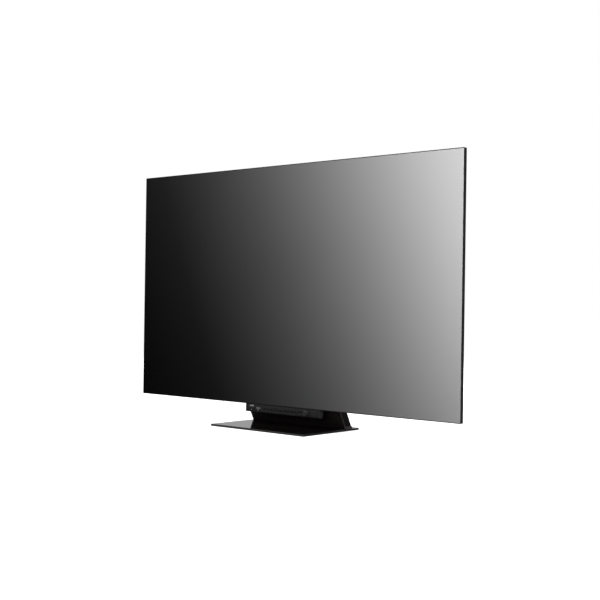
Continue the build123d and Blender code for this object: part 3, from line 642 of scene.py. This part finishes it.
# Mains inlet: plated sleeves on its three pins
PIN_SIZE = Vector((2.0, 0, 4.0)) * MM
PIN_PLACES = ((-7.0, -1.5), (7.0, -1.5), (0.0, 2.5))
PIN_BACK = -14.5 * MM
PIN_TIP = -3.5 * MM
PLATING = 0.12 * MM
PLATING_START = 0.1 * MM
PLATING_END = 0.15 * MM
PIN_BEVEL = 0.25 * MM
inlet_x = middle("power_inlet").x


def build_inlet_pins(form):
    """A plated sleeve over each flat pin and past its tip."""
    half_x, half_z = PIN_SIZE.x / 2 + PLATING, PIN_SIZE.z / 2 + PLATING
    start = bay_floor + PIN_BACK + PLATING_START
    end = bay_floor + PIN_TIP + PLATING_END
    for x, z in PIN_PLACES:
        place = Vector((inlet_x + x * MM, 0, bay_z + z * MM))
        add_block(form, (place.x - half_x, start, place.z - half_z),
                  (place.x + half_x, end, place.z + half_z))


new_piece("inlet_pins", build_inlet_pins, materials["bright_steel"], bevel=PIN_BEVEL)

# Mains rocker: a line on one half of its face and a ring on the other
ROCKER_TIP = radians(8.0)
ROCKER_FACE = 2.0 * MM
ROCKER_RISE = 1.5 * MM
ROCKER_HALF = 10.4 * MM
ROCKER_MARK = 5.6 * MM
LINE_HALF_WIDTH = 0.45 * MM
LINE_HALF_LENGTH = 2.0 * MM
RING_INNER = 1.3 * MM
RING_OUTER = 2.0 * MM
RING_SIDES = 36
joints = frame["record"]["behaviour"]["joints"]
rocker_joint = next(joint for joint in joints if joint["child"] == "rocker")
rocker_pivot = Vector(rocker_joint["pos_m"])


def rocker_half_plane(side):
    """A matrix whose +Y leaves the rocker's upper (1) or lower (-1) half, at that half's mark."""
    along = Vector((0, side * ROCKER_RISE, ROCKER_HALF)).normalized()
    out = Vector((0, along.z, -along.y))
    start = Vector((0, ROCKER_FACE, 0)) + along * side * ROCKER_MARK
    half = Matrix((Vector((1, 0, 0)), out, along)).transposed().to_4x4()
    tipped = Matrix.Translation(rocker_pivot) @ Matrix.Rotation(ROCKER_TIP, 4, "X")
    return tipped @ Matrix.Translation(start) @ half


def build_rocker_marks(form):
    """An upright line on the upper half and a ring on the lower one."""
    add_block(form, (-LINE_HALF_WIDTH, 0, -LINE_HALF_LENGTH), (LINE_HALF_WIDTH, PRINT, LINE_HALF_LENGTH))
    bmesh.ops.transform(form, matrix=rocker_half_plane(1), verts=form.verts)
    line = set(form.verts)
    profile = [(RING_INNER, 0), (RING_OUTER, 0), (RING_OUTER, PRINT), (RING_INNER, PRINT)]
    add_ring(form, Vector((0, 0, 0)), profile, RING_SIDES)
    ring = [vert for vert in form.verts if vert not in line]
    bmesh.ops.transform(form, matrix=rocker_half_plane(-1), verts=ring)


new_piece("rocker_marks", build_rocker_marks, print_white, body="rocker")

# Wire guards behind the fan slots
GUARD_PITCH = 3.2 * MM
GUARD_WIRE = 0.3 * MM
GUARD_HALF = 38.4 * MM
HOUSING_WALL = 2.5 * MM


def build_fan_guards(form):
    """A grid of crossed wires inside the housing's wall, over each fan."""
    front = back_face - HOUSING_WALL - 2 * GUARD_WIRE - SKIN
    count = int(2 * GUARD_HALF / GUARD_PITCH) + 1
    for node in ("fan_frame_left", "fan_frame_right"):
        centre = middle(node)
        for i in range(count):
            step = (i - (count - 1) / 2) * GUARD_PITCH
            add_block(form, (centre.x + step - GUARD_WIRE / 2, front, centre.z - GUARD_HALF),
                      (centre.x + step + GUARD_WIRE / 2, front + GUARD_WIRE, centre.z + GUARD_HALF))
            add_block(form, (centre.x - GUARD_HALF, front + GUARD_WIRE, centre.z + step - GUARD_WIRE / 2),
                      (centre.x + GUARD_HALF, front + 2 * GUARD_WIRE, centre.z + step + GUARD_WIRE / 2))


new_piece("fan_guards", build_fan_guards, vent_dark_and_recess_shade)

# Brass thread inserts in the four rear mounting holes
THREAD_PITCH = 1.0 * MM
THREAD_TURNS = 10
MOUNT_HOLE_RADIUS = 3.0 * MM
POST_RADIUS = 9.0 * MM
THREAD_CREST = 0.55 * MM
THREAD_ROOT = 0.12 * MM
THREAD_SIDES = 40
posts_low, posts_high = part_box("mount_posts")


def build_thread_inserts(form):
    """A ridged lining in each hole, with rings that stand for the thread."""
    outer = MOUNT_HOLE_RADIUS - SKIN
    crest, root = outer - THREAD_CREST, outer - THREAD_ROOT
    profile = [(outer, -SKIN)]
    for turn in range(THREAD_TURNS):
        profile.append((crest, -SKIN - (turn + 0.2) * THREAD_PITCH))
        profile.append((root, -SKIN - (turn + 0.7) * THREAD_PITCH))
    profile.append((outer, -SKIN - THREAD_TURNS * THREAD_PITCH))
    for x in (posts_low.x + POST_RADIUS, posts_high.x - POST_RADIUS):
        for z in (posts_low.z + POST_RADIUS, posts_high.z - POST_RADIUS):
            add_ring(form, Vector((x, posts_high.y, z)), profile, THREAD_SIDES)


new_piece("thread_inserts", build_thread_inserts, contact_gold)


# ---- Floor, lights and camera ----

FLOOR_SIDE = 60.0
FLOOR_GLOW = 0.95


def soft_light(name, place, aim, width, height, power):
    """A rectangular soft light, aimed at a point and out of the camera's sight."""
    data = bpy.data.lights.new(name, "AREA")
    data.shape = "RECTANGLE"
    data.size = width
    data.size_y = height
    data.energy = power
    lamp = bpy.data.objects.new(name, data)
    bpy.context.scene.collection.objects.link(lamp)
    lamp.location = place
    lamp.rotation_mode = "QUATERNION"
    lamp.rotation_quaternion = (Vector(aim) - Vector(place)).to_track_quat("-Z", "Y")
    lamp.visible_camera = False
    return lamp


def lights_only(lamp, objects, include=True):
    """Lets a light reach only these objects, or everything but them."""
    group = bpy.data.collections.new(f"{lamp.name}_receivers")
    for one in objects:
        group.objects.link(one)
    lamp.light_linking.receiver_collection = group
    if not include:
        for item in group.collection_objects:
            item.light_linking.link_state = "EXCLUDE"


nodes = frame["nodes"]
screen = nodes["screen_glass"]
strip_names = ["strip_fascia", "sensor_window", "knob", "power_button", "input_button"]
strip_names += [f"function_button_{number}" for number in range(1, 9)]
strip_nodes = [nodes[name] for name in strip_names]


def screen_card(name, centre, width, height, radiance, yaw, pitch):
    """A light for the screen alone, of a set radiance, turned by yaw about the vertical and by pitch."""
    power = radiance * pi * width * height
    lamp = soft_light(name, (0, 0, 0), (0, 1, 0), width, height, power)
    out = Vector((sin(yaw) * cos(pitch), cos(yaw) * cos(pitch), -sin(pitch)))
    side = Vector((cos(yaw), -sin(yaw), 0))
    up = side.cross(out)
    turn = Matrix((side, up, -out)).transposed()
    lamp.location = centre
    lamp.rotation_mode = "QUATERNION"
    lamp.rotation_quaternion = turn.to_quaternion()
    lights_only(lamp, [screen])
    return lamp


# Two large cards in front, whose soft reflection crosses the satin screen from the right
screen_card("screen_card_high", centre=(0.252, -1.51, 1.781), width=1.517, height=2.014, radiance=24.45,
            yaw=0.72, pitch=-0.3)
screen_card("screen_card_low", centre=(0.80, -1.327, 0.634), width=1.395, height=1.671, radiance=55.2,
            yaw=0.796, pitch=-0.266)

top = soft_light("top_light", place=(0.4, -0.9, 2.6), aim=(0, 0, 0.3), width=2.4, height=1.6, power=60)
right = soft_light("right_light", place=(3.2, 0.4, 1.3), aim=(0.3, 0, 0.35), width=1.4, height=1.8, power=60)
back = soft_light("back_light", place=(-1.2, 3.0, 2.2), aim=(0, 0, 0.35), width=2.6, height=1.8, power=130)
front = soft_light("front_light", place=(1.2, -3.2, 0.9), aim=(0, 0, 0.2), width=1.6, height=1.0, power=40)

# The screen has its own cards, and the front and right lights leave out what they would make too bright
lights_only(top, [screen], include=False)
lights_only(back, [screen], include=False)
lights_only(front, [screen, *strip_nodes], include=False)
side_on = [nodes["panel_frame"], nodes["neck_cover"]]
lights_only(right, [screen, *side_on, *strip_nodes], include=False)

# What the pale floor throws up at the base plate's front edge
BOUNCE_WIDTH = 0.5
BOUNCE_DEPTH = 0.2
BOUNCE_RADIANCE = 0.7
BOUNCE_HEIGHT = 0.0006
BOUNCE_AHEAD = 0.11
bounce_y = base_front - BOUNCE_AHEAD
bounce = soft_light("floor_bounce", place=(0, bounce_y, BOUNCE_HEIGHT), aim=(0, bounce_y, 1),
                    width=BOUNCE_WIDTH, height=BOUNCE_DEPTH,
                    power=BOUNCE_RADIANCE * pi * BOUNCE_WIDTH * BOUNCE_DEPTH)
lights_only(bounce, [nodes["base_plate"]])

# A low glow from the screen's lower edge down the control strip
LIP_WIDTH = 0.31
LIP_HEIGHT = 0.008
LIP_POWER = 0.008
LIP_AHEAD = 0.03
LIP_OFFSET = 0.006
lip_place = Vector((0, fascia_low.y - LIP_AHEAD, fascia_high.z + LIP_OFFSET))
lip_aim = Vector((0, fascia_low.y, fascia_high.z - LIP_OFFSET))
lip = soft_light("lip_glow", place=lip_place, aim=lip_aim,
                 width=LIP_WIDTH, height=LIP_HEIGHT, power=LIP_POWER)
lights_only(lip, strip_nodes)


def make_floor():
    """A large plain pale floor, which glows so that it stays even far away."""
    mesh = bpy.data.meshes.new("floor")
    half = FLOOR_SIDE / 2
    corners = [(-half, -half, 0), (half, -half, 0), (half, half, 0), (-half, half, 0)]
    mesh.from_pydata(corners, [], [(0, 1, 2, 3)])
    floor = bpy.data.objects.new("floor", mesh)
    bpy.context.scene.collection.objects.link(floor)
    material = plain_material("floor", (0.6, 0.6, 0.6), 1.0, specular=0.0)
    shader = material.node_tree.nodes["Principled BSDF"]
    shader.inputs["Emission Color"].default_value = (1.0, 1.0, 1.0, 1.0)
    shader.inputs["Emission Strength"].default_value = FLOOR_GLOW
    mesh.materials.append(material)
    floor.visible_glossy = False


# Where the surroundings are brightest, and how their light rises towards it
BRIGHT_SIDE = (-0.45, 0.89, 0.0)
DIM_AT = 0.1
BRIGHT_AT = 0.85
DIM = 0.004
BRIGHT = 0.75


def make_world():
    """White to the camera; lights and reflects mostly from behind the object."""
    world = bpy.data.worlds.new("studio")
    world.use_nodes = True
    bpy.context.scene.world = world
    tree = world.node_tree
    tree.nodes.clear()
    place = tree.nodes.new("ShaderNodeTexCoord")
    toward = tree.nodes.new("ShaderNodeVectorMath")
    toward.operation = "DOT_PRODUCT"
    toward.inputs[1].default_value = BRIGHT_SIDE
    spread = tree.nodes.new("ShaderNodeMapRange")
    spread.interpolation_type = "SMOOTHSTEP"
    spread.inputs["From Min"].default_value = DIM_AT
    spread.inputs["From Max"].default_value = BRIGHT_AT
    spread.inputs["To Min"].default_value = DIM
    spread.inputs["To Max"].default_value = BRIGHT
    lighting = tree.nodes.new("ShaderNodeBackground")
    seen = tree.nodes.new("ShaderNodeBackground")
    seen.inputs["Strength"].default_value = 1.0
    seen.inputs["Color"].default_value = (1.0, 1.0, 1.0, 1.0)
    ray = tree.nodes.new("ShaderNodeLightPath")
    mix = tree.nodes.new("ShaderNodeMixShader")
    output = tree.nodes.new("ShaderNodeOutputWorld")
    tree.links.new(place.outputs["Generated"], toward.inputs[0])
    tree.links.new(toward.outputs["Value"], spread.inputs["Value"])
    tree.links.new(spread.outputs["Result"], lighting.inputs["Strength"])
    tree.links.new(ray.outputs["Is Camera Ray"], mix.inputs["Fac"])
    tree.links.new(lighting.outputs["Background"], mix.inputs[1])
    tree.links.new(seen.outputs["Background"], mix.inputs[2])
    tree.links.new(mix.outputs["Shader"], output.inputs["Surface"])


SENSOR = 36.0
LENS = 64.623
CAMERA_YAW = radians(40.887)
CAMERA_PITCH = radians(0.263)
CAMERA_ROLL = radians(0.848)
CAMERA_X = 2.0966
CAMERA_AHEAD = 2.3469
CAMERA_BELOW = 0.0557


def make_camera():
    """The camera to the right of the object, a little below the middle of the screen."""
    data = bpy.data.cameras.new("camera")
    data.sensor_width = SENSOR
    data.lens = LENS
    camera = bpy.data.objects.new("camera", data)
    bpy.context.scene.collection.objects.link(camera)
    yaw, pitch, roll = CAMERA_YAW, CAMERA_PITCH, CAMERA_ROLL
    ahead = Vector((-sin(yaw) * cos(pitch), cos(yaw) * cos(pitch), sin(pitch)))
    level = Vector((cos(yaw), sin(yaw), 0))
    upward = level.cross(ahead)
    side = level * cos(roll) + upward * sin(roll)
    up = upward * cos(roll) - level * sin(roll)
    camera.location = (CAMERA_X, screen_low.y - CAMERA_AHEAD, screen_centre.z - CAMERA_BELOW)
    camera.rotation_mode = "QUATERNION"
    camera.rotation_quaternion = Matrix((side, up, -ahead)).transposed().to_quaternion()
    bpy.context.scene.camera = camera


make_floor()
make_world()
make_camera()
bpy.context.scene.view_settings.view_transform = "Standard"
